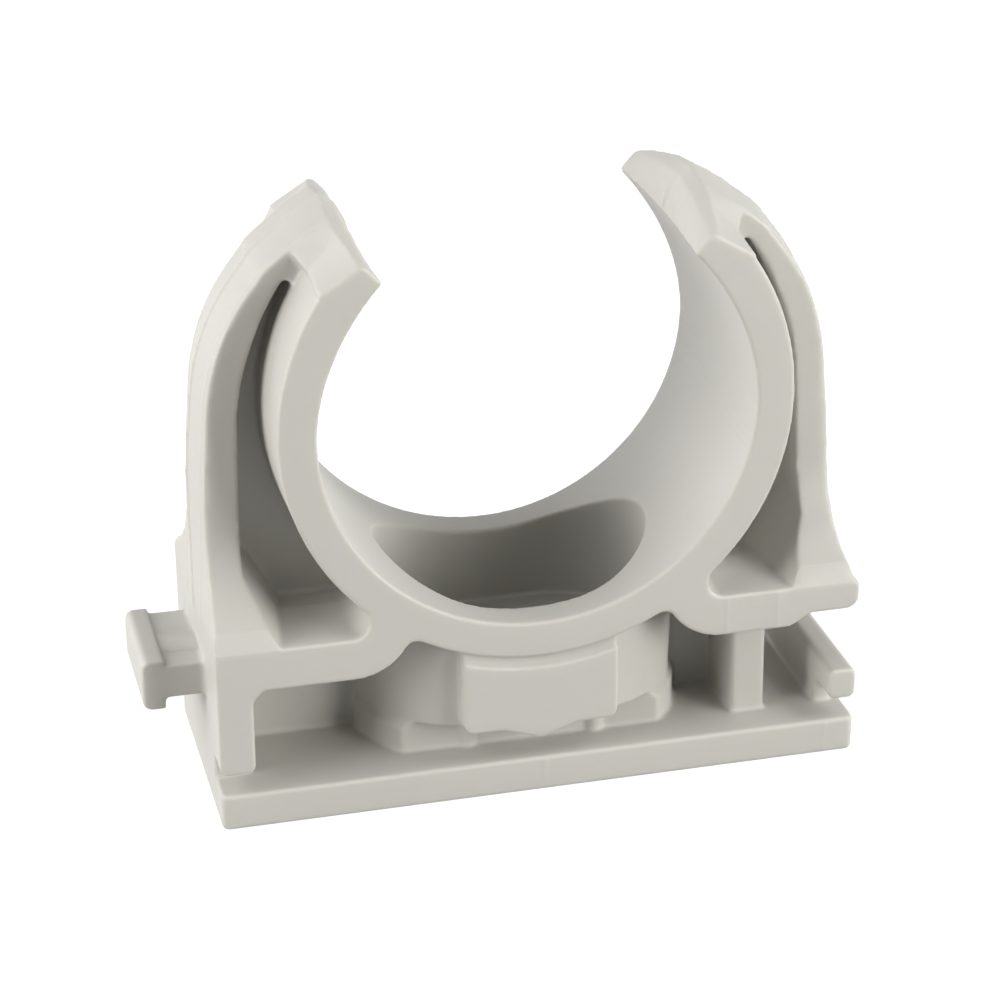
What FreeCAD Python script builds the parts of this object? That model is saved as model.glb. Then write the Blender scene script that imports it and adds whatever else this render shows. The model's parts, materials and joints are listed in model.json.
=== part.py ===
"""Conduit clip: an open spring ring on a flat base, moulded in one piece.

Millimetres. X runs across the clip, Y along the conduit, Z up. The origin lies on
the underside of the base plate, straight below the axis of the bore, and the clip
stands on that underside. The left end (-X) carries a T-lug and the right end (+X) a
slot, so that clips can be joined in a row.
"""
import FreeCAD, Part
import math
import os
from FreeCAD import Vector

# Ring that grips the conduit
conduit_diameter = 25.0
ring_wall = 2.15
clip_depth = 15.0
ring_rise = 0.12            # from the shelves' underside up to the ring's lowest point
mouth_angle = 46.0          # degrees from straight up to each tip's inner corner

# Base plate
base_thickness = 2.15
base_corner_radius = 0.5
base_lead = 0.4             # how much further the base reaches to the right than to the left

# Feet between the base plate and what stands over it
foot_inset = 2.35           # from the clip's front and back faces
foot_gap = 1.3              # open height under the full-depth ends

# Shelves at each side of the ring
shelf_height = 8.57         # from the ground to the shelves' underside
shelf_thickness = 2.5
shelf_root_radius = 3.48    # the round that carries a shelf's underside up to the ring
shelf_neck = 0.28           # from where that round meets the ring up to the shelf's top
shelf_valley_radius = 0.7
pocket_corner_radius = 1.0

# Left wall
wall_thickness = 2.05
wall_chamfer = 0.65
wall_end_radius = 0.45

# Right shelf over the slot
slot_roof_rise = 0.75
slot_roof_lead = 0.66       # from the post's outer face to the start of the roof's slope
slot_roof_run = 1.32
shelf_end_radius_low = 0.8
shelf_end_radius_high = 0.3

# Webs in the middle of the depth
web_thickness = 1.5

# Slits and pockets between the ring and the spring arms
slit_end_angle = 61.0
slit_width_top = 0.72
slit_width_middle = 1.0
slit_middle_angle = 73.5
slit_width_axis = 1.49
pocket_foot_width = 2.3     # from the pocket's outer wall to the left wall's outer face
pocket_foot_rise = 1.9      # of the slanting corner at the pocket's foot, on the clip's face
pocket_foot_run = 1.4
pocket_web_rise = 4.2       # of the same corner where it meets the web
pocket_web_run = 2.32

# Spring arms
arm_thickness = 2.0         # at the height of the axis, on the ridge
arm_lead = 0.51             # from the arm at that height out to the left wall's outer face
arm_waist = 0.2             # how far the arm lies inside the left wall's outer face
arm_shoulder_drop = 0.55    # how far the shoulder lies inside a round at the axis's reach
arm_shoulder_angle = 72.0
arm_half_width = 3.35
arm_half_width_top = 2.7
arm_flare_radius = 6.0
arm_flare_rise = 6.33       # from the shelf's top up to where the flare starts
arm_flare_middle_angle = 35.0   # degrees along the flare, for a point in its middle
arm_crown = 0.12            # fall of the outer face for each millimetre from the middle

# Ridge of each arm's top: heights over the bore, and degrees from straight up
rib_heights = (3.47, 3.92, 4.39)
rib_angles = (50.4, 55.3, 60.1)
rib_step_out = 0.35         # from the rib's end to where the arm's shoulder starts
rib_step_down = 0.52

# Tips of the ring in the middle of the depth and at steps towards each face. The inner
# corner, crest and outer edge have heights over the bore, and degrees from straight up.
tip_insets = (4.5, 3.2, 1.5, 0.0)       # of the steps, in from the face
tip_inner_heights = (1.88, 1.67, 1.53, 1.34, 1.15)
tip_inner_angles = (41.6, 42.7, 43.4, 44.3, 45.3)
tip_crest_heights = (2.78, 2.45, 2.2, 1.81, 1.39)
tip_crest_angles = (42.1, 43.5, 44.0, 44.6, 45.6)
tip_edge_heights = (3.58, 3.22, 2.45, 2.34, 2.26)
tip_edge_angles = (53.3, 54.2, 54.7, 55.3, 55.7)

# Boss for the screw, and the pocket that opens into the bore
boss_inset = 0.9            # from the clip's front and back faces
boss_half_straight = 2.75
boss_spread_low = 0.15      # how much further the ends reach at the boss's lower edge
boss_spread = 0.35          # how much further still where they meet the ring
boss_foot_flare = 0.42
boss_foot_height = 1.95
boss_foot_slope = 0.4       # height over which the foot's flare runs out
boss_face_setback = 0.15
boss_post_radius = 0.6
boss_post_reach = 3.8
boss_post_proud = 0.15
pocket_wall = 1.3
screw_grip = 4.0            # plastic that the screw goes through, over the base plate
screw_hole_diameter = 5.2

# Bare plaque on the front of the boss
plaque_width = 9.1
plaque_point_drop = 0.72
plaque_point_half_width = 2.2
plaque_corner_radius = 0.7
plaque_top_gap = 0.65
plaque_relief = 0.35

# Slot at the right end
slot_width = 3.2
post_thickness = 2.05
lip_thickness = 1.67
lip_stem_thickness = 0.95
lip_height = 1.9
lip_corner_radius = 0.45

# T-lug on the left wall
lug_width = 7.0
lug_neck_length = 2.35
lug_neck_height = 2.05
lug_rise = 0.44             # of the neck's middle over the middle of the slot's mouth
lug_head_thickness = 1.3
lug_head_height = 3.05
lug_head_drop = 0.65        # from the neck's underside down to the head's
lug_corner_radius = 0.5

# Overlaps that stay inside the plastic, so that neighbouring bars join into one solid
root_lead_angle = 6.0       # degrees from the mouth's corner to the arm's root in the ring
fill_lead_angle = 3.0       # degrees past the pocket's corner, on the ring's underside

# How near an edge has to pass to a named corner to be the one that is rounded
corner_reach = 0.3
same_place = 0.0001

# Ring sizes that follow from the ones above
bore_radius = conduit_diameter / 2
ring_outer = bore_radius + ring_wall
ring_middle = bore_radius + ring_wall / 2
axis_height = shelf_height + ring_rise + ring_outer
arm_inner_axis = ring_outer + slit_width_axis
arm_outer_axis = arm_inner_axis + arm_thickness

# Depths that follow, each from the middle out
half_depth = clip_depth / 2
half_foot = half_depth - foot_inset
half_web = web_thickness / 2
boss_end_radius = half_depth - boss_inset
pocket_end_radius = boss_end_radius - pocket_wall

# Heights that follow
shelf_top = shelf_height + shelf_thickness
shelf_middle = shelf_height + shelf_thickness / 2
gap_top = base_thickness + foot_gap
boss_foot_top = base_thickness + boss_foot_height
pocket_floor = base_thickness + screw_grip
slot_roof = shelf_height + slot_roof_rise
lip_top = gap_top + lip_height
arm_flare_top = shelf_top + arm_flare_rise

# Reaches that follow, from the bore's axis
left_reach = arm_outer_axis + arm_lead
right_reach = left_reach + base_lead
wall_inner = left_reach - wall_thickness
pocket_wall_x = left_reach - pocket_foot_width
lip_inner = right_reach - lip_thickness
post_outer = lip_inner - slot_width
post_inner = post_outer - post_thickness
pocket_corner = math.sqrt(ring_outer ** 2 - (axis_height - shelf_top) ** 2)
fill_angle = math.degrees(math.atan2(pocket_corner, shelf_top - axis_height)) + fill_lead_angle
fillet_drop = axis_height - shelf_top - pocket_corner_radius
fillet_reach = math.sqrt((ring_outer + pocket_corner_radius) ** 2 - fillet_drop ** 2)

# The boss runs up to where its ends meet the ring's outside
boss_reach = boss_half_straight + boss_spread_low + boss_spread + boss_end_radius
boss_top = axis_height - math.sqrt(ring_outer ** 2 - boss_reach ** 2)

# The shelf's root, from the bore's axis: where its round meets the ring, and its middle
root_meets_ring = math.sqrt(ring_outer ** 2 - (axis_height - shelf_top + shelf_neck) ** 2)
root_climb = shelf_root_radius - shelf_thickness + shelf_neck
shelf_root_reach = root_meets_ring + math.sqrt(shelf_root_radius ** 2 - root_climb ** 2)


def at_angle(radius, degrees):
    """The point on a circle round the bore's axis, by its angle from straight up."""
    turn = math.radians(degrees)
    return (radius * math.sin(turn), axis_height + radius * math.cos(turn))


def over_bore(height, degrees):
    """The point at a height over the bore's surface, by its angle from straight up."""
    return at_angle(bore_radius + height, degrees)


def lowered(point, fall):
    """The point brought down and in, by fall, at a right angle to a slope of 45 degrees."""
    return (point[0] - fall * math.sqrt(0.5), point[1] - fall * math.sqrt(0.5))


def flip(shape):
    """The mirror image of a shape, from one side of the bore's axis to the other."""
    return shape.mirror(Vector(0, 0, 0), Vector(1, 0, 0))


def outline(start, steps, place):
    """A closed wire from points, and pairs of points for arcs (through, to)."""
    edges = []
    here = start
    for step in steps + [start]:
        if isinstance(step[0], tuple):
            through, there = step
            edges.append(Part.Arc(place(here), place(through), place(there)).toShape())
        else:
            there = step
            edges.append(Part.LineSegment(place(here), place(there)).toShape())
        here = there
    return Part.Wire(edges)


def wire_at_depth(start, steps, y):
    """An outline seen from the front, at one depth."""
    return outline(start, steps, lambda p: Vector(p[0], y, p[1]))


def bar(start, steps, y_from, y_to):
    """A front outline carried along the depth."""
    face = Part.Face(wire_at_depth(start, steps, y_from))
    return face.extrude(Vector(0, y_to - y_from, 0))


def block(x_from, x_to, half_width, z_from, z_to):
    """A block that lies evenly about the middle of the depth."""
    size = (x_to - x_from, 2 * half_width, z_to - z_from)
    return Part.makeBox(*size, Vector(x_from, -half_width, z_from))


def drum(radius, y_from, y_to):
    """A round bar on the bore's axis."""
    return Part.makeCylinder(radius, y_to - y_from, Vector(0, y_from, axis_height), Vector(0, 1, 0))


def round_ended_wire(end_radius, half_straight, z):
    """A level outline with two straight sides and two round ends."""
    far = half_straight + end_radius
    start = (half_straight, -end_radius)
    steps = [
        ((far, 0), (half_straight, end_radius)),
        (-half_straight, end_radius),
        ((-far, 0), (-half_straight, -end_radius)),
    ]
    return outline(start, steps, lambda p: Vector(p[0], p[1], z))


def round_ended(end_radius, half_straight, z_from, z_to):
    """An upright bar with two straight sides and two round ends."""
    face = Part.Face(round_ended_wire(end_radius, half_straight, z_from))
    return face.extrude(Vector(0, 0, z_to - z_from))


def depth_edges(shape, corners):
    """The edges along the depth that pass near one of the (x, z) corners."""
    found = []
    for edge in shape.Edges:
        first = edge.Vertexes[0].Point
        last = edge.Vertexes[-1].Point
        if math.hypot(first.x - last.x, first.z - last.z) > same_place:
            continue
        for corner in corners:
            if math.hypot(first.x - corner[0], first.z - corner[1]) < corner_reach:
                found.append(edge)
                break
    return found


def rounded_corners(shape, radius, corners):
    """Round the edges along the depth at the given (x, z) corners."""
    return shape.makeFillet(radius, depth_edges(shape, corners))


def tip_corners(step):
    """Inner corner, crest and outer edge of a right-hand tip, by its step from the middle."""
    return [
        over_bore(tip_inner_heights[step], tip_inner_angles[step]),
        over_bore(tip_crest_heights[step], tip_crest_angles[step]),
        over_bore(tip_edge_heights[step], tip_edge_angles[step]),
    ]


def ring():
    """The open ring: a tube with its mouth cut out between the two tips."""
    tube = drum(ring_outer, -half_depth, half_depth)
    tube = tube.cut(drum(bore_radius, -half_depth, half_depth))
    above = axis_height + 2 * ring_outer
    corners = tip_corners(len(tip_insets))
    right = [at_angle(bore_radius, mouth_angle)] + corners
    right += [(above, corners[-1][1]), (above, above)]
    left = [(-x, z) for x, z in reversed(right)]
    mouth = bar((0, axis_height), right + left, -half_depth, half_depth)
    return tube.cut(mouth)


def between(first, second, share):
    """The point that lies the given share of the way from the first point to the second."""
    return (first[0] + share * (second[0] - first[0]), first[1] + share * (second[1] - first[1]))


def arc_middle(centre, first, second):
    """The middle of the shorter arc about a centre, from the first point to the second."""
    chord = between(first, second, 0.5)
    radius = math.dist(centre, first)
    return between(centre, chord, radius / math.dist(centre, chord))


def shelf_root():
    """The outline steps shared by both shelves: the underside turns up and runs into the ring."""
    axis = (0, axis_height)
    root = (shelf_root_reach, shelf_height + shelf_root_radius)
    to_axis = ring_outer + shelf_valley_radius
    to_root = shelf_root_radius + shelf_valley_radius
    span = math.dist(axis, root)
    along = (to_axis ** 2 - to_root ** 2 + span ** 2) / (2 * span)
    aside = math.sqrt(to_axis ** 2 - along ** 2)
    foot = between(axis, root, along / span)
    valley = (
        foot[0] + aside * (root[1] - axis[1]) / span,
        foot[1] - aside * (root[0] - axis[0]) / span,
    )
    start = (shelf_root_reach, shelf_height)
    turn = between(root, valley, shelf_root_radius / to_root)
    end = between(axis, valley, ring_outer / to_axis)
    return [
        start,
        (arc_middle(root, start, turn), turn),
        (arc_middle(valley, turn, end), end),
        between(axis, valley, ring_middle / to_axis),
        between(axis, (pocket_corner, shelf_top), ring_middle / ring_outer),
        (pocket_corner, shelf_top),
    ]


def left_wall():
    """The left shelf and the wall that hangs from it, down to the gap over the base."""
    start = (left_reach, shelf_top)
    steps = [
        (left_reach, gap_top),
        (wall_inner, gap_top),
        (wall_inner, shelf_height - wall_chamfer),
        (wall_inner - wall_chamfer, shelf_height),
    ]
    wall = bar(start, steps + shelf_root(), -half_depth, half_depth)
    ends = [(left_reach, gap_top), (wall_inner, gap_top)]
    return flip(rounded_corners(wall, wall_end_radius, ends))


def right_shelf():
    """The right shelf, whose outer part is the roof of the slot."""
    slope = post_outer + slot_roof_lead
    start = (right_reach, shelf_top)
    steps = [
        (right_reach, slot_roof),
        (slope + slot_roof_run, slot_roof),
        (slope, shelf_height),
    ]
    shelf = bar(start, steps + shelf_root(), -half_depth, half_depth)
    shelf = rounded_corners(shelf, shelf_end_radius_low, [(right_reach, slot_roof)])
    return rounded_corners(shelf, shelf_end_radius_high, [(right_reach, shelf_top)])


def frame():
    """Ring and shelves as one bar of the full depth."""
    return ring().fuse([left_wall(), right_shelf()])


def ridge_outline(fall):
    """The outside of a right-hand arm, drawn in by fall from the ridge."""
    rib = zip(rib_heights, rib_angles)
    start, middle, end = [lowered(over_bore(*place), fall) for place in rib]
    shoulder = at_angle(arm_outer_axis - arm_shoulder_drop - fall, arm_shoulder_angle)
    steps = [
        (middle, end),
        (end[0] + rib_step_out, end[1] - rib_step_down),
        (shoulder, (arm_outer_axis - fall, axis_height)),
        ((left_reach - arm_waist - fall, arm_flare_top), (left_reach, arm_flare_top - arm_flare_radius)),
        (left_reach, shelf_middle),
        (shelf_root_reach - shelf_root_radius / 2, shelf_middle),
        at_angle(ring_middle, fill_angle),
        (at_angle(ring_middle, arm_shoulder_angle), at_angle(ring_middle, mouth_angle + root_lead_angle)),
    ]
    return start, steps


def arm_blank():
    """A right-hand arm before its pockets are cut, crowned about the middle of the depth."""
    ridge = wire_at_depth(*ridge_outline(0.0), 0.0)
    halves = []
    for y in (-half_depth, half_depth):
        side = wire_at_depth(*ridge_outline(arm_crown * half_depth), y)
        halves.append(Part.makeLoft([ridge, side], True, True))
    return halves[0].fuse(halves[1])


def pocket_foot(side):
    """The slanting corner at a pocket's foot, from the clip's face to the web."""
    places = (
        (half_depth, pocket_foot_run, pocket_foot_rise),
        (half_web, pocket_web_run, pocket_web_rise),
    )
    wires = []
    for depth, run, rise in places:
        start = (pocket_wall_x, shelf_top + rise)
        steps = [(pocket_wall_x - run, shelf_top), (left_reach, shelf_middle)]
        wires.append(wire_at_depth(start, steps, side * depth))
    return Part.makeLoft(wires, True, True)


def pocket_bar():
    """The pocket between the ring and a right-hand arm, as a bar through the whole depth."""
    start = at_angle(ring_outer + slit_width_top, slit_end_angle)
    middle = at_angle(ring_outer + slit_width_middle, slit_middle_angle)
    steps = [
        (middle, (arm_inner_axis, axis_height)),
        (pocket_wall_x, shelf_top + pocket_web_rise),
        (pocket_wall_x, shelf_top),
        (0, shelf_top),
        (0, axis_height),
    ]
    pocket = bar(start, steps, -half_depth, half_depth)
    pocket = pocket.cut(drum(ring_outer, -half_depth, half_depth))
    pocket = rounded_corners(pocket, pocket_corner_radius, [(pocket_corner, shelf_top)])
    pocket = pocket.cut([pocket_foot(-1), pocket_foot(1)])
    x, z = at_angle(ring_outer + slit_width_top / 2, slit_end_angle)
    end = Part.makeCylinder(slit_width_top / 2, clip_depth, Vector(x, -half_depth, z), Vector(0, 1, 0))
    return pocket.fuse(end)


def arm_width():
    """The arm seen from the side: wide at the shelf, then narrow up to the tip."""
    top = axis_height + ring_outer
    centre = arm_half_width + arm_flare_radius
    drop = math.sqrt(arm_flare_radius ** 2 - (centre - half_depth) ** 2)
    lean = math.radians(arm_flare_middle_angle)
    bend_y = centre - arm_flare_radius * math.cos(lean)
    bend_z = arm_flare_top - arm_flare_radius * math.sin(lean)
    foot_z = arm_flare_top - drop
    start = (half_depth, shelf_middle)
    steps = [
        (half_depth, foot_z),
        ((bend_y, bend_z), (arm_half_width, arm_flare_top)),
        (arm_half_width_top, top),
        (-arm_half_width_top, top),
        (-arm_half_width, arm_flare_top),
        ((-bend_y, bend_z), (-half_depth, foot_z)),
        (-half_depth, shelf_middle),
    ]
    wire = outline(start, steps, lambda p: Vector(0, p[0], p[1]))
    return Part.Face(wire).extrude(Vector(2 * left_reach, 0, 0))


def arm():
    """A right-hand spring arm with its pockets and the web between them."""
    pocket = pocket_bar()
    pocket = pocket.cut(block(0, 2 * left_reach, half_web, 0, 2 * axis_height))
    rounded_corner = block(0, fillet_reach, half_depth, shelf_middle, axis_height)
    return arm_blank().cut(pocket).common(arm_width().fuse(rounded_corner))


def tip_section(step, depth):
    """A right-hand tip's outline at one step. In the middle it carries the arm's rib."""
    inner, crest, edge = tip_corners(step)
    shoulder = between(crest, edge, 0.5)
    if depth < arm_half_width:
        shoulder = lowered(over_bore(rib_heights[0], rib_angles[0]), arm_crown * depth)
    root = at_angle(ring_middle, mouth_angle + 2 * root_lead_angle)
    return [inner, crest, shoulder, edge, root]


def tip():
    """A right-hand tip of the ring: a lip whose crest arches along the depth."""
    corner = at_angle(bore_radius, mouth_angle)
    depths = [0.0] + [half_depth - inset for inset in tip_insets]
    halves = []
    for side in (-1, 1):
        wires = []
        for step, depth in enumerate(depths):
            wires.append(wire_at_depth(corner, tip_section(step, depth), side * depth))
        halves.append(Part.makeLoft(wires, True, True))
    return halves[0].fuse(halves[1])


def base_plate():
    """The flat base, with its upright corners rounded."""
    plate = block(-left_reach, right_reach, half_depth, 0, base_thickness)
    upright = [e for e in plate.Edges if abs(e.Vertexes[0].Z - e.Vertexes[-1].Z) > base_thickness / 2]
    return plate.makeFillet(base_corner_radius, upright)


def boss():
    """The boss round the screw pocket, and its set-back foot with four small posts."""
    low = round_ended_wire(boss_end_radius, boss_half_straight + boss_spread_low, boss_foot_top)
    climb = boss_top - boss_foot_top
    halves = [Part.Face(low).extrude(Vector(side * boss_spread, 0, climb)) for side in (-1, 1)]
    body = halves[0].fuse(halves[1]).cut(drum(ring_middle, -half_depth, half_depth))
    slope_bottom = boss_foot_top - boss_foot_slope
    wide = (boss_end_radius + boss_foot_flare, boss_half_straight)
    slope = Part.makeLoft([round_ended_wire(*wide, slope_bottom), low], True, True)
    foot = round_ended(*wide, base_thickness, slope_bottom).fuse(slope)
    foot = foot.common(block(-left_reach, left_reach, half_foot - boss_face_setback, 0, shelf_middle))
    parts = [foot]
    for x in (-boss_post_reach, boss_post_reach):
        for face in (-1, 1):
            y = face * (half_foot + boss_post_proud - boss_post_radius)
            place = Vector(x, y, base_thickness)
            parts.append(Part.makeCylinder(boss_post_radius, boss_foot_height, place))
    return body.fuse(parts)


def screw_pocket():
    """What is taken out of the boss: the pocket from the bore, and the screw hole."""
    pocket = round_ended(pocket_end_radius, boss_half_straight, pocket_floor, axis_height)
    hole = Part.makeCylinder(screw_hole_diameter / 2, axis_height)
    return pocket.fuse(hole)


def plaque():
    """The bare plaque on the front of the boss, with its pointed lower edge."""
    half = plaque_width / 2
    bottom = boss_foot_top
    start = (-half, bottom)
    steps = [
        (-plaque_point_half_width, bottom),
        (0, bottom - plaque_point_drop),
        (plaque_point_half_width, bottom),
        (half, bottom),
        (half, shelf_middle),
        (-half, shelf_middle),
    ]
    plate = bar(start, steps, -half_depth, -half_depth / 2)
    plate = rounded_corners(plate, plaque_corner_radius, [(-half, bottom), (half, bottom)])
    relief = drum(ring_outer + plaque_top_gap, -half_depth, -half_depth + plaque_relief)
    return plate.cut(relief)


def slot_post():
    """The post at the inner side of the slot."""
    return block(post_inner, post_outer, half_foot, base_thickness, shelf_middle)


def slot_lip():
    """The lip at the outer side of the slot, on its stem."""
    head = block(lip_inner, right_reach, half_depth, gap_top, lip_top)
    corners = [(x, z) for x in (lip_inner, right_reach) for z in (gap_top, lip_top)]
    head = rounded_corners(head, lip_corner_radius, corners)
    stem_outer = lip_inner + lip_stem_thickness
    stem = block(lip_inner, stem_outer, half_foot, base_thickness, gap_top + lip_height / 2)
    return head.fuse(stem)


def wall_foot():
    """The set-back foot under the left wall."""
    return block(-left_reach, -wall_inner, half_foot, base_thickness, gap_top + wall_end_radius)


def low_webs():
    """The webs under the shelves, from the boss out to the left wall and the post."""
    left = block(-wall_inner, 0, half_web, base_thickness, shelf_middle)
    right = block(0, post_inner, half_web, base_thickness, shelf_middle)
    return left.fuse(right)


def lug():
    """The T-shaped lug that slides into the slot of the next clip."""
    root = left_reach - wall_thickness / 2
    neck_end = left_reach + lug_neck_length
    head_end = neck_end + lug_head_thickness
    half = lug_width / 2
    neck_bottom = (lip_top + slot_roof) / 2 + lug_rise - lug_neck_height / 2
    head_bottom = neck_bottom - lug_head_drop
    head_top = head_bottom + lug_head_height
    neck = block(root, neck_end, half, neck_bottom, neck_bottom + lug_neck_height)
    head = block(neck_end, head_end, half, head_bottom, head_top)
    head = rounded_corners(head, lug_corner_radius, [(head_end, head_bottom), (head_end, head_top)])
    return flip(neck.fuse(head))


def conduit_clip():
    """The whole clip as one solid."""
    parts = [base_plate(), wall_foot(), low_webs(), boss(), plaque(), slot_post(), slot_lip(), lug()]
    for piece in (arm(), tip()):
        parts.append(piece)
        parts.append(flip(piece))
    clip = frame().fuse(parts)
    clip = clip.cut(screw_pocket())
    return clip.removeSplitter()


def main():
    os.makedirs("parts", exist_ok=True)
    clip = conduit_clip()
    clip.exportStep("parts/conduit_clip.step")
    box = clip.BoundBox
    print("solids", len(clip.Solids), "valid", clip.isValid(), "volume", round(clip.Volume, 1))
    print("box", round(box.XLength, 2), round(box.YLength, 2), round(box.ZLength, 2))


main()
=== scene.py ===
"""Looks of the conduit clip: a moulded body with soft edges, its plastic, the studio and the camera.

Metres, in the frame of the CAD model: X across the clip, Y along the conduit, Z up, with the
origin on the underside of the base, straight below the axis of the bore.
"""
import json
import math

import bmesh
import bpy
import numpy
from mathutils import Matrix, Vector


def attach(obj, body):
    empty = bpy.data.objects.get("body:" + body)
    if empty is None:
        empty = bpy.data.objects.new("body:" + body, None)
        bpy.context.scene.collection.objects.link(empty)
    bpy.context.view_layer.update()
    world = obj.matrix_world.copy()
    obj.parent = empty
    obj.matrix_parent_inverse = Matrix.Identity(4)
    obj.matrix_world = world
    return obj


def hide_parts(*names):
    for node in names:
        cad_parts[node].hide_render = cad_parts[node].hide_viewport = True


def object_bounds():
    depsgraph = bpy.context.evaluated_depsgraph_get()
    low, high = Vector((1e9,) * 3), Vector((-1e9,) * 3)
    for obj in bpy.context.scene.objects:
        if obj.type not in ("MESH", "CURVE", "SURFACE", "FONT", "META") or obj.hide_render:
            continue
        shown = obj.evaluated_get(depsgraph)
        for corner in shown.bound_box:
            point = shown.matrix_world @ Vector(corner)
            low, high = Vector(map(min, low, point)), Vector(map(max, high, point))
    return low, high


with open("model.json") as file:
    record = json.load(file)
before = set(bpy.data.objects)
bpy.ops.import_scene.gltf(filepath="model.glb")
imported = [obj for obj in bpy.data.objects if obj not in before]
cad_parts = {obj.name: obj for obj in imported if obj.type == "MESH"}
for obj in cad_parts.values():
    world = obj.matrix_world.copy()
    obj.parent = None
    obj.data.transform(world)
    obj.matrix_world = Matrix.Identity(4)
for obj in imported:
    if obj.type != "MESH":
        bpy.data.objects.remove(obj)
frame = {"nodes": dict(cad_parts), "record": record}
CAD_LOW, CAD_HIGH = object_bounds()

bl_info = {
    "name": "Conduit clip",
    "version": (1, 0, 0),
    "blender": (4, 5, 0),
    "location": "3D View > Sidebar > Conduit clip",
    "description": "Dresses the moulded conduit clip and sets up its studio",
    "category": "Object",
}

MM = 0.001
BODY = "conduit_clip"

# Lamps: name, where it stands as seen from the clip, the light that it alone gives a white that
# faces it, and its colour
WARM = (1.0, 0.99, 0.94)
WHITE = (1.0, 1.0, 1.0)
LAMPS = (
    ("right_front_box", (0.73, -0.65, 0.21), 0.97, WARM),
    ("right_high_box", (0.68, -0.18, 0.71), 0.46, WHITE),
    ("left_front_box", (-0.95, -0.25, 0.21), 0.82, WARM),
    ("left_high_box", (-0.66, -0.24, 0.71), 0.22, WHITE),
    ("left_back_high_box", (-0.61, 0.35, 0.71), 0.33, WHITE),
    ("left_back_box", (-0.7, 0.7, 0.21), 0.16, WHITE),
)
AXIS_HEIGHT = frame["record"]["mounts"][0]["pos_m"][2]

# Triangle corners nearer than this are one point
WELD_DISTANCE = 0.001 * MM
# Share of the way to its neighbours' middle that a point goes in one smoothing pass
SMOOTH_STEP = 0.5
# A point faces along a true round from the first cosine on, and wholly from the second
ROUND_FACING = (0.98, 0.995)

# Where the scene's body fills out the CAD model. A pair says where a form starts and where it is whole.
CROWN_HEIGHT = 19.5 * MM
CROWN_SPREAD = 4.8 * MM
CROWN_FROM = (15.2 * MM, 16.2 * MM)
CROWN_FACING = (0.2, 0.6)
CROWN_FADE = 0.6
LEAN_FROM = (22.0 * MM, 31.0 * MM)
LEAN_WALL = (12.7 * MM, 14.9 * MM)
SLANT_FROM = (32.8 * MM, 34.4 * MM)
RISE_FROM = (30.0 * MM, 33.0 * MM)
RISE_BACK = (-5.0 * MM, 3.0 * MM)

# The arms' foot: from the shelf's top up, its front and back slope in to meet the flare
FOOT_HEIGHT = 11.05 * MM
FOOT_TOP = 12.3 * MM
FOOT_INSIDE = 14.0 * MM
FOOT_SLOPE = 0.8

# Where the mould left its marks. A pair of facings is a pair of cosines.
SEAM_FROM = (10.0 * MM, 11.0 * MM)
SEAM_SIDES = (8.0 * MM, 8.5 * MM)
SEAM_OFF_BORE = (0.1 * MM, 0.3 * MM)
SEAM_FACING = (0.3, 0.6)
INSERT_LINE = 2.5 * MM
NECK_SPAN = (-20.9 * MM, -18.75 * MM)
NECK_BAND = (-1.85 * MM, 0.37 * MM)
NECK_TOP = 9.2 * MM
NECK_EDGE = 0.05 * MM
NECK_FACING = (0.7, 0.9)
FRONT_FACE = -7.3 * MM
FRONT_FACING = (0.8, 0.95)
# Lines on the front: place across, lowest and highest point, and how many times the usual width
FRONT_LINES = (
    (11.0 * MM, 8.0 * MM, 11.2 * MM, 1.0),
    (14.05 * MM, 8.0 * MM, 11.2 * MM, 1.0),
    (17.2 * MM, 0.0 * MM, 2.8 * MM, 1.0),
    (0.17 * MM, 0.6 * MM, 2.1 * MM, 2.0),
)

# The plastic
REFRACTION = 1.5
ROUGHNESS_SPREAD = 0.08
GRAIN_DETAIL = 3.0
WAVE_DETAIL = 1.0

# The floor: its grey for the light's own bounces, and its grey and its glow where it is seen
FLOOR_BOUNCE = (0.4, 0.4, 0.4, 1.0)
FLOOR_SEEN = (0.3, 0.3, 0.3, 1.0)
FLOOR_GLOW = 0.82

# What the camera sees starts and ends at these distances
CLIP_NEAR = 5 * MM
CLIP_FAR = 20.0


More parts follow.
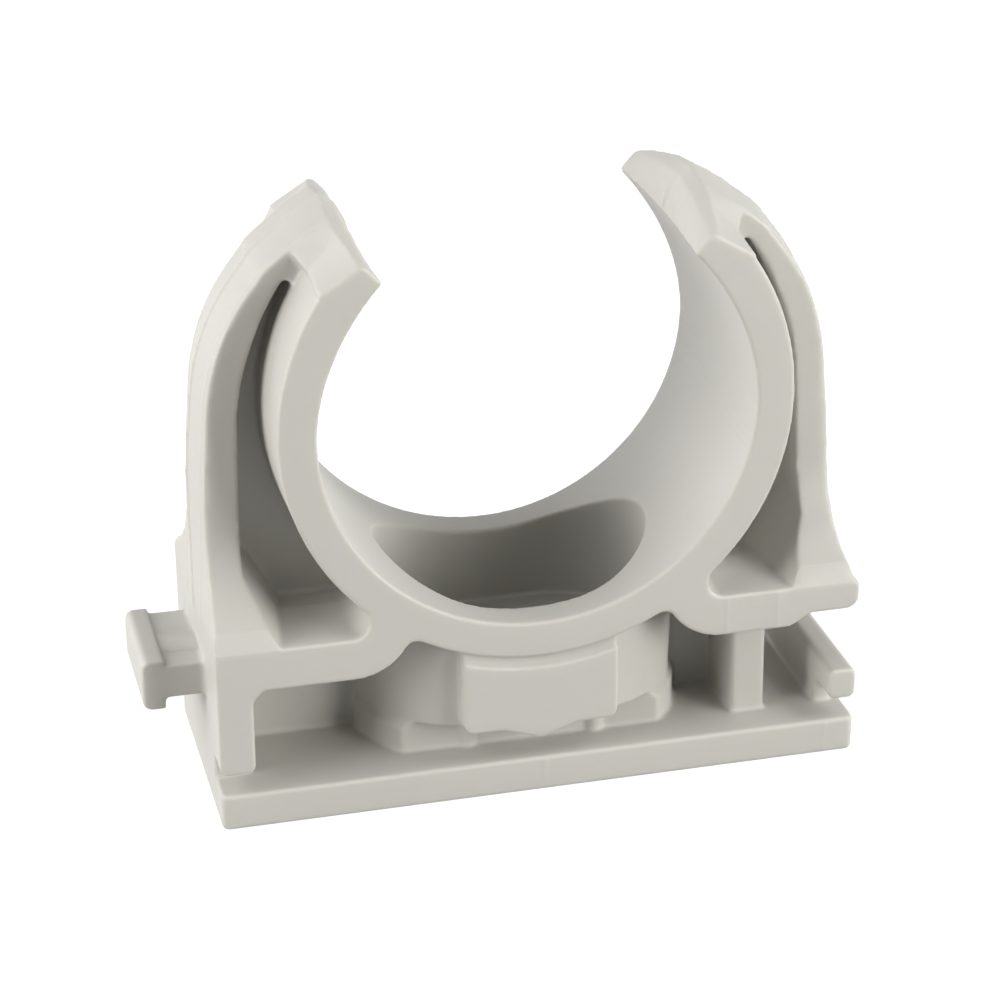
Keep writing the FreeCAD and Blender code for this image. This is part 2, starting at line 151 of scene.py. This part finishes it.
class ClipShape(bpy.types.PropertyGroup):
    """How the moulded body is softened."""

    grain: bpy.props.FloatProperty(
        name="Grain", description="Side of the small cells that the body is rebuilt from",
        default=0.12 * MM, unit="LENGTH", precision=5,
    )
    softening: bpy.props.IntProperty(
        name="Softening", description="Passes that round the edges, each by part of a cell",
        default=9, min=0,
    )
    evening: bpy.props.IntProperty(
        name="Evening", description="Further passes on the stretches between the edges",
        default=60, min=0,
    )
    edge_bend: bpy.props.FloatProperty(
        name="Edge bend", description="Bend from cell to cell from which a stretch counts as an edge",
        default=math.radians(5), subtype="ANGLE",
    )
    keep: bpy.props.FloatProperty(
        name="Keep", description="Share of the faces that is kept when flat stretches are thinned",
        default=0.19, min=0.01, max=1.0,
    )
    bore_radius: bpy.props.FloatProperty(
        name="Bore radius", description="Radius of the ring's inside", default=12.5 * MM, unit="LENGTH",
    )
    ring_wall: bpy.props.FloatProperty(
        name="Ring wall", description="Thickness of the ring", default=2.15 * MM, unit="LENGTH",
    )
    round_reach: bpy.props.FloatProperty(
        name="Round reach", description="How near a point lies to a true round before it is put on it",
        default=0.1 * MM, unit="LENGTH", precision=5,
    )
    arm_crown: bpy.props.FloatProperty(
        name="Arm crown", description="How far the arms swell outward half way up", default=0.28 * MM,
        unit="LENGTH", precision=5,
    )
    tip_reach: bpy.props.FloatProperty(
        name="Tip reach", description="How far the ring leans into the mouth at its front and back",
        default=0.33 * MM, unit="LENGTH", precision=5,
    )
    tip_slant: bpy.props.FloatProperty(
        name="Tip slant", description="How far the tips' crests lean away from the mouth",
        default=0.3 * MM, unit="LENGTH", precision=5,
    )
    tip_rise: bpy.props.FloatProperty(
        name="Tip rise", description="How far the tips rise toward the back", default=0.12 * MM,
        unit="LENGTH", precision=5,
    )
    seam_height: bpy.props.FloatProperty(
        name="Seam height", description="Height of the parting seam round the arms and over the tips",
        default=0.12 * MM, unit="LENGTH", precision=5,
    )
    line_height: bpy.props.FloatProperty(
        name="Line height", description="Height of the finer lines left by the mould's inserts",
        default=0.04 * MM, unit="LENGTH", precision=5,
    )
    line_width: bpy.props.FloatProperty(
        name="Line width", description="Half the width of the seam and of the finer lines",
        default=0.15 * MM, unit="LENGTH", precision=5,
    )
    neck_step: bpy.props.FloatProperty(
        name="Neck step", description="Height of the middle band on the lug's neck", default=0.14 * MM,
        unit="LENGTH", precision=5,
    )


class ClipPlastic(bpy.types.PropertyGroup):
    """The plastic's colour and surface."""

    colour: bpy.props.FloatVectorProperty(
        name="Colour", description="Colour of the plastic", subtype="COLOR", size=4,
        default=(0.50, 0.492, 0.462, 1.0), min=0.0, max=1.0,
    )
    glow_colour: bpy.props.FloatVectorProperty(
        name="Depth tint", description="How far red, green and blue light travel inside the plastic",
        subtype="COLOR", size=3, default=(1.0, 0.8, 0.5), min=0.0, max=1.0,
    )
    glow_depth: bpy.props.FloatProperty(
        name="Depth", description="How far light travels inside the plastic", default=0.7 * MM,
        unit="LENGTH",
    )
    glow_share: bpy.props.FloatProperty(
        name="Depth share", description="Share of the light that goes through the plastic",
        default=0.3, min=0.0, max=1.0,
    )
    roughness: bpy.props.FloatProperty(
        name="Roughness", description="Mean roughness of the surface", default=0.5, min=0.0, max=1.0,
    )
    grain_size: bpy.props.FloatProperty(
        name="Grain size", description="Size of the fine grain left by the mould", default=0.25 * MM,
        unit="LENGTH", precision=5,
    )
    grain_height: bpy.props.FloatProperty(
        name="Grain height", description="Height of the fine grain", default=0.004 * MM, unit="LENGTH",
        precision=6,
    )
    wave_size: bpy.props.FloatProperty(
        name="Wave size", description="Size of the shallow waves left by shrinking", default=5 * MM,
        unit="LENGTH",
    )
    wave_height: bpy.props.FloatProperty(
        name="Wave height", description="Height of the shallow waves", default=0.02 * MM,
        unit="LENGTH", precision=5,
    )


class ClipStudio(bpy.types.PropertyGroup):
    """Camera, lamps and floor."""

    camera_place: bpy.props.FloatVectorProperty(
        name="Camera place", description="Where the camera stands", subtype="TRANSLATION", size=3,
        default=(-39.076 * MM, -156.085 * MM, 88.814 * MM),
    )
    camera_turn: bpy.props.FloatVectorProperty(
        name="Camera turn", description="Turn to the right, tilt down and roll of the camera",
        subtype="EULER", size=3, default=(0.24156, 0.42947, 0.00801),
    )
    lens: bpy.props.FloatProperty(
        name="Lens", description="Focal length in millimetres", default=109.72,
    )
    sensor: bpy.props.FloatProperty(
        name="Sensor", description="Width of the sensor in millimetres", default=36.0,
    )
    shift: bpy.props.FloatProperty(
        name="Shift", description="Sideways shift of the picture, as a share of its width",
        default=0.0015,
    )
    ambient: bpy.props.FloatProperty(
        name="Ambient", description="Light from all around", default=0.03, min=0.0,
    )
    lamp_size: bpy.props.FloatProperty(
        name="Lamp size", description="Side of each square lamp", default=0.25, unit="LENGTH",
    )
    lamp_distance: bpy.props.FloatProperty(
        name="Lamp distance", description="From the clip to each lamp", default=0.45, unit="LENGTH",
    )
    floor_size: bpy.props.FloatProperty(
        name="Floor size", description="Side of the square floor", default=4.0, unit="LENGTH",
    )


def link(thing):
    """Put an object into the scene."""
    bpy.context.scene.collection.objects.link(thing)
    return thing


def finish_mesh(thing):
    """Work the object's modifiers into its mesh."""
    bpy.context.view_layer.update()
    seen = thing.evaluated_get(bpy.context.evaluated_depsgraph_get())
    mesh = bpy.data.meshes.new_from_object(seen)
    thing.modifiers.clear()
    thing.data = mesh


def welded_copy(node, name):
    """A copy of a CAD node whose loose triangles are joined into one skin."""
    skin = bmesh.new()
    skin.from_mesh(node.data)
    bmesh.ops.remove_doubles(skin, verts=skin.verts, dist=WELD_DISTANCE)
    mesh = bpy.data.meshes.new(name)
    skin.to_mesh(mesh)
    skin.free()
    return link(bpy.data.objects.new(name, mesh))


def soften(piece, shape):
    """Rebuild the skin from small cells and round its edges, as a mould leaves them."""
    cells = piece.modifiers.new("Cells", "REMESH")
    cells.mode = "VOXEL"
    cells.voxel_size = shape.grain
    rounding = piece.modifiers.new("Rounding", "SMOOTH")
    rounding.factor = SMOOTH_STEP
    rounding.iterations = shape.softening
    finish_mesh(piece)


def read_vectors(elements, name):
    """One vector for each point or facing of a mesh, as rows of numbers."""
    values = numpy.empty(len(elements) * 3)
    elements.foreach_get(name, values)
    return values.reshape(-1, 3)


def ramp(values, start, end):
    """0 up to the start, 1 from the end on, and a soft rise between them."""
    share = numpy.clip((values - start) / (end - start), 0.0, 1.0)
    return share * share * (3 - 2 * share)


def fill_out(piece, shape):
    """Swell the arms, lean the ring's ends, slant and raise the tips, and slope the arms' foot."""
    points = read_vectors(piece.data.vertices, "co")
    facing = read_vectors(piece.data.vertex_normals, "vector")
    across, along, up = points.T
    side = numpy.sign(across)
    outward = ramp(side * facing[:, 0], *CROWN_FACING)
    radius = numpy.hypot(across, up - AXIS_HEIGHT)
    height = numpy.exp(-(((up - CROWN_HEIGHT) / CROWN_SPREAD) ** 2))
    depth = 1 - CROWN_FADE * (along / CAD_HIGH.y) ** 2
    swell = shape.arm_crown * height * depth * outward * ramp(abs(across), *CROWN_FROM)
    lean = shape.tip_reach * ramp(up, *LEAN_FROM) * (1 - ramp(radius, *LEAN_WALL))
    lean = lean * (along / CAD_HIGH.y) ** 2
    slant = shape.tip_slant * ramp(up, *SLANT_FROM)
    rise = shape.tip_rise * ramp(up, *RISE_FROM) * ramp(along, *RISE_BACK)
    points[:, 0] += side * (swell - lean + slant)
    points[:, 2] += rise
    below = CAD_HIGH.y - FOOT_SLOPE * (up - FOOT_HEIGHT)
    foot = (abs(across) > FOOT_INSIDE) & (up > FOOT_HEIGHT) & (up < FOOT_TOP)
    points[:, 1] = numpy.where(foot, numpy.clip(along, -below, below), along)
    piece.data.vertices.foreach_set("co", points.ravel())


def mould_marks(piece, shape):
    """Raise the parting seam, the lines of the mould's inserts and the band on the lug's neck."""
    mesh = piece.data
    points = read_vectors(mesh.vertices, "co")
    facing = read_vectors(mesh.vertex_normals, "vector")
    across, along, up = points.T
    radius = numpy.hypot(across, up - AXIS_HEIGHT)
    outside = ramp(
        radius, shape.bore_radius + SEAM_OFF_BORE[0], shape.bore_radius + SEAM_OFF_BORE[1],
    )
    outside *= 1 - ramp(abs(facing[:, 1]), *SEAM_FACING)
    outside *= ramp(up, *SEAM_FROM)
    outside *= ramp(abs(across), *SEAM_SIDES)
    raised = numpy.zeros(len(points))
    lines = (
        (0.0, shape.seam_height),
        (-INSERT_LINE, shape.line_height),
        (INSERT_LINE, shape.line_height),
    )
    for place, height in lines:
        ridge = numpy.clip(1 - ((along - place) / shape.line_width) ** 2, 0.0, None) ** 2
        raised += height * ridge * outside
    front = ramp(-facing[:, 1], *FRONT_FACING) * (along < FRONT_FACE)
    for place, low, high, width in FRONT_LINES:
        offset = (across - place) / (width * shape.line_width)
        ridge = numpy.clip(1 - offset ** 2, 0.0, None) ** 2
        raised += shape.line_height * ridge * front * (up > low) * (up < high)
    neck = ramp(facing[:, 2], *NECK_FACING) * ((across > NECK_SPAN[0]) & (across < NECK_SPAN[1]))
    band = ramp(along, NECK_BAND[0] - NECK_EDGE, NECK_BAND[0] + NECK_EDGE)
    band *= 1 - ramp(along, NECK_BAND[1] - NECK_EDGE, NECK_BAND[1] + NECK_EDGE)
    raised += shape.neck_step * band * neck * (up < NECK_TOP)
    points += facing * raised[:, None]
    mesh.vertices.foreach_set("co", points.ravel())


def bends(mesh):
    """How far the skin bends at each point, as the widest angle to a neighbour's facing."""
    facing = read_vectors(mesh.vertex_normals, "vector")
    ends = numpy.empty(len(mesh.edges) * 2, dtype=int)
    mesh.edges.foreach_get("vertices", ends)
    ends = ends.reshape(-1, 2)
    agreement = (facing[ends[:, 0]] * facing[ends[:, 1]]).sum(axis=1)
    angles = numpy.arccos(numpy.clip(agreement, -1.0, 1.0))
    widest = numpy.zeros(len(mesh.vertices))
    for column in (0, 1):
        numpy.maximum.at(widest, ends[:, column], angles)
    return widest


def even_out(piece, shape):
    """Smooth away the small flats on the rounds, while the edges stay as they are."""
    group = piece.vertex_groups.new(name="between_edges")
    even = numpy.flatnonzero(bends(piece.data) < shape.edge_bend)
    group.add(even.tolist(), 1.0, "REPLACE")
    evening = piece.modifiers.new("Evening", "SMOOTH")
    evening.factor = SMOOTH_STEP
    evening.iterations = shape.evening
    evening.vertex_group = group.name
    finish_mesh(piece)
    piece.vertex_groups.clear()


def true_rounds(piece, radii, reach):
    """Put onto a true round about the bore's axis the points that lie close to it and face along it."""
    points = read_vectors(piece.data.vertices, "co")
    facing = read_vectors(piece.data.vertex_normals, "vector")
    across = points[:, 0]
    up = points[:, 2] - AXIS_HEIGHT
    distance = numpy.hypot(across, up)
    square = abs(facing[:, 0] * across + facing[:, 2] * up) / distance
    lower = 1 - ramp(points[:, 2], *LEAN_FROM)
    for radius in radii:
        near = 1 - ramp(abs(distance - radius), reach / 2, reach)
        share = near * ramp(square, *ROUND_FACING) * lower
        scale = 1 + share * (radius / distance - 1)
        points[:, 0] = across * scale
        points[:, 2] = AXIS_HEIGHT + up * scale
    piece.data.vertices.foreach_set("co", points.ravel())
    piece.data.update()


def thin_out(piece, share):
    """Take faces away where the skin is flat, and keep the way the full skin faces the light."""
    piece.data.shade_smooth()
    full = link(bpy.data.objects.new("full_skin", piece.data))
    thinning = piece.modifiers.new("Thinning", "DECIMATE")
    thinning.ratio = share
    finish_mesh(piece)
    facing = piece.modifiers.new("Facing", "DATA_TRANSFER")
    facing.object = full
    facing.use_loop_data = True
    facing.data_types_loops = {"CUSTOM_NORMAL"}
    facing.loop_mapping = "POLYINTERP_NEAREST"
    finish_mesh(piece)
    bpy.data.objects.remove(full)


def new_material(name):
    """An empty node material, with its tree and its output."""
    material = bpy.data.materials.new(name)
    material.use_nodes = True
    tree = material.node_tree
    tree.nodes.clear()
    output = tree.nodes.new("ShaderNodeOutputMaterial")
    return material, tree, output


def pattern(tree, size, detail):
    """A noise on object coordinates, with cells of the given size."""
    where = tree.nodes.new("ShaderNodeTexCoord")
    noise = tree.nodes.new("ShaderNodeTexNoise")
    noise.inputs["Scale"].default_value = 1 / size
    noise.inputs["Detail"].default_value = detail
    tree.links.new(where.outputs["Object"], noise.inputs["Vector"])
    return noise


def bump(tree, noise, height, under=None):
    """A bump of the given height, on top of another one if there is one."""
    node = tree.nodes.new("ShaderNodeBump")
    node.inputs["Strength"].default_value = 1.0
    node.inputs["Distance"].default_value = height
    tree.links.new(noise.outputs["Fac"], node.inputs["Height"])
    if under is not None:
        tree.links.new(under.outputs["Normal"], node.inputs["Normal"])
    return node


def moulded_plastic(look):
    """Warm light grey plastic with a fine grain and a little depth."""
    material, tree, output = new_material("moulded_plastic")
    shader = tree.nodes.new("ShaderNodeBsdfPrincipled")
    shader.inputs["Base Color"].default_value = look.colour
    shader.inputs["IOR"].default_value = REFRACTION
    shader.inputs["Subsurface Weight"].default_value = look.glow_share
    shader.inputs["Subsurface Radius"].default_value = look.glow_colour
    shader.inputs["Subsurface Scale"].default_value = look.glow_depth
    fine = pattern(tree, look.grain_size, GRAIN_DETAIL)
    broad = pattern(tree, look.wave_size, WAVE_DETAIL)
    spread = tree.nodes.new("ShaderNodeMapRange")
    spread.inputs["To Min"].default_value = look.roughness - ROUGHNESS_SPREAD
    spread.inputs["To Max"].default_value = look.roughness + ROUGHNESS_SPREAD
    tree.links.new(broad.outputs["Fac"], spread.inputs["Value"])
    tree.links.new(spread.outputs["Result"], shader.inputs["Roughness"])
    waves = bump(tree, broad, look.wave_height)
    grain = bump(tree, fine, look.grain_height, waves)
    tree.links.new(grain.outputs["Normal"], shader.inputs["Normal"])
    tree.links.new(shader.outputs["BSDF"], output.inputs["Surface"])
    return material


def seen_directly(tree):
    """1 for rays that come from the camera, a mirror or glass, and 0 for the light's own bounces."""
    path = tree.nodes.new("ShaderNodeLightPath")
    total = path.outputs["Is Camera Ray"]
    for name in ("Is Glossy Ray", "Is Transmission Ray"):
        add = tree.nodes.new("ShaderNodeMath")
        add.operation = "MAXIMUM"
        tree.links.new(total, add.inputs[0])
        tree.links.new(path.outputs[name], add.inputs[1])
        total = add.outputs[0]
    return total


def pale_floor():
    """White where it is seen, with the object's shadow left on it."""
    material, tree, output = new_material("pale_floor")
    plain = tree.nodes.new("ShaderNodeBsdfDiffuse")
    plain.inputs["Color"].default_value = FLOOR_BOUNCE
    shaded = tree.nodes.new("ShaderNodeBsdfDiffuse")
    shaded.inputs["Color"].default_value = FLOOR_SEEN
    white = tree.nodes.new("ShaderNodeEmission")
    white.inputs["Strength"].default_value = FLOOR_GLOW
    both = tree.nodes.new("ShaderNodeAddShader")
    tree.links.new(shaded.outputs["BSDF"], both.inputs[0])
    tree.links.new(white.outputs["Emission"], both.inputs[1])
    mix = tree.nodes.new("ShaderNodeMixShader")
    tree.links.new(seen_directly(tree), mix.inputs["Fac"])
    tree.links.new(plain.outputs["BSDF"], mix.inputs[1])
    tree.links.new(both.outputs["Shader"], mix.inputs[2])
    tree.links.new(mix.outputs["Shader"], output.inputs["Surface"])
    return material


def white_surroundings(ambient):
    """A world that is white where it is seen, and lights the object softly."""
    world = bpy.data.worlds.new("surroundings")
    bpy.context.scene.world = world
    world.use_nodes = True
    tree = world.node_tree
    tree.nodes.clear()
    output = tree.nodes.new("ShaderNodeOutputWorld")
    light = tree.nodes.new("ShaderNodeBackground")
    light.inputs["Strength"].default_value = ambient
    white = tree.nodes.new("ShaderNodeBackground")
    white.inputs["Strength"].default_value = 1.0
    for node in (light, white):
        node.inputs["Color"].default_value = (1.0, 1.0, 1.0, 1.0)
    mix = tree.nodes.new("ShaderNodeMixShader")
    tree.links.new(seen_directly(tree), mix.inputs["Fac"])
    tree.links.new(light.outputs["Background"], mix.inputs[1])
    tree.links.new(white.outputs["Background"], mix.inputs[2])
    tree.links.new(mix.outputs["Shader"], output.inputs["Surface"])


def softbox(name, direction, level, colour, studio):
    """A square lamp that faces the clip, and lights a white that faces it to the given level."""
    away = Vector(direction).normalized()
    data = bpy.data.lights.new(name, "AREA")
    data.shape = "SQUARE"
    data.size = studio.lamp_size
    data.energy = level * (math.pi * studio.lamp_distance) ** 2
    data.color = colour
    lamp = link(bpy.data.objects.new(name, data))
    lamp.location = (CAD_LOW + CAD_HIGH) / 2 + studio.lamp_distance * away
    lamp.rotation_mode = "QUATERNION"
    lamp.rotation_quaternion = (-away).to_track_quat("-Z", "Y")


def studio_camera(studio):
    """The camera, from its place, its turn, tilt and roll, and its lens."""
    turn, tilt, roll = studio.camera_turn
    ahead = Vector((
        math.sin(turn) * math.cos(tilt),
        math.cos(turn) * math.cos(tilt),
        -math.sin(tilt),
    ))
    level = Vector((math.cos(turn), -math.sin(turn), 0.0))
    down = ahead.cross(level)
    right = level * math.cos(roll) + down * math.sin(roll)
    up = level * math.sin(roll) - down * math.cos(roll)
    data = bpy.data.cameras.new("camera")
    data.lens = studio.lens
    data.sensor_width = studio.sensor
    data.shift_x = studio.shift
    data.clip_start = CLIP_NEAR
    data.clip_end = CLIP_FAR
    camera = link(bpy.data.objects.new("camera", data))
    turned = Matrix((right, up, -ahead)).transposed().to_4x4()
    camera.matrix_world = Matrix.Translation(Vector(studio.camera_place)) @ turned
    bpy.context.scene.camera = camera


class CLIP_OT_body(bpy.types.Operator):
    """Make the moulded body with its softened edges"""

    bl_idname = "clip.body"
    bl_label = "Moulded body"

    def execute(self, context):
        shape = context.scene.clip_shape
        body = welded_copy(frame["nodes"][BODY], "clip_body")
        soften(body, shape)
        even_out(body, shape)
        radii = (shape.bore_radius, shape.bore_radius + shape.ring_wall)
        true_rounds(body, radii, shape.round_reach)
        fill_out(body, shape)
        mould_marks(body, shape)
        thin_out(body, shape.keep)
        body.data.materials.clear()
        body.data.materials.append(moulded_plastic(context.scene.clip_plastic))
        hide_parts(BODY)
        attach(body, "root")
        return {"FINISHED"}


class CLIP_OT_stage(bpy.types.Operator):
    """Set up the floor, the lamps, the surroundings and the camera"""

    bl_idname = "clip.stage"
    bl_label = "Studio"

    def execute(self, context):
        studio = context.scene.clip_studio
        scene = context.scene
        scene.view_settings.view_transform = "Standard"
        skin = bmesh.new()
        bmesh.ops.create_grid(skin, x_segments=1, y_segments=1, size=studio.floor_size / 2)
        mesh = bpy.data.meshes.new("floor")
        skin.to_mesh(mesh)
        skin.free()
        mesh.materials.append(pale_floor())
        floor = link(bpy.data.objects.new("floor", mesh))
        white_surroundings(studio.ambient)
        for name, direction, level, colour in LAMPS:
            softbox(name, direction, level, colour, studio)
        studio_camera(studio)
        return {"FINISHED"}


class CLIP_PT_panel(bpy.types.Panel):
    """Lists what the clip is made of"""

    bl_idname = "CLIP_PT_panel"
    bl_label = "Conduit clip"
    bl_space_type = "VIEW_3D"
    bl_region_type = "UI"
    bl_category = "Conduit clip"

    def draw(self, context):
        layout = self.layout
        scene = context.scene
        for settings, operator in (
            (scene.clip_shape, CLIP_OT_body),
            (scene.clip_plastic, None),
            (scene.clip_studio, CLIP_OT_stage),
        ):
            box = layout.box()
            for key in settings.__annotations__:
                box.prop(settings, key)
            if operator is not None:
                box.operator(operator.bl_idname)


CLASSES = (ClipShape, ClipPlastic, ClipStudio, CLIP_OT_body, CLIP_OT_stage, CLIP_PT_panel)


def register():
    """Tell Blender about the settings, the operators and the panel."""
    for item in CLASSES:
        bpy.utils.register_class(item)
    bpy.types.Scene.clip_shape = bpy.props.PointerProperty(type=ClipShape)
    bpy.types.Scene.clip_plastic = bpy.props.PointerProperty(type=ClipPlastic)
    bpy.types.Scene.clip_studio = bpy.props.PointerProperty(type=ClipStudio)


def unregister():
    """Take them away again."""
    del bpy.types.Scene.clip_shape
    del bpy.types.Scene.clip_plastic
    del bpy.types.Scene.clip_studio
    for item in reversed(CLASSES):
        bpy.utils.unregister_class(item)


def main():
    """Make every piece."""
    register()
    bpy.ops.clip.body()
    bpy.ops.clip.stage()


if __name__ == "__main__":
    main()
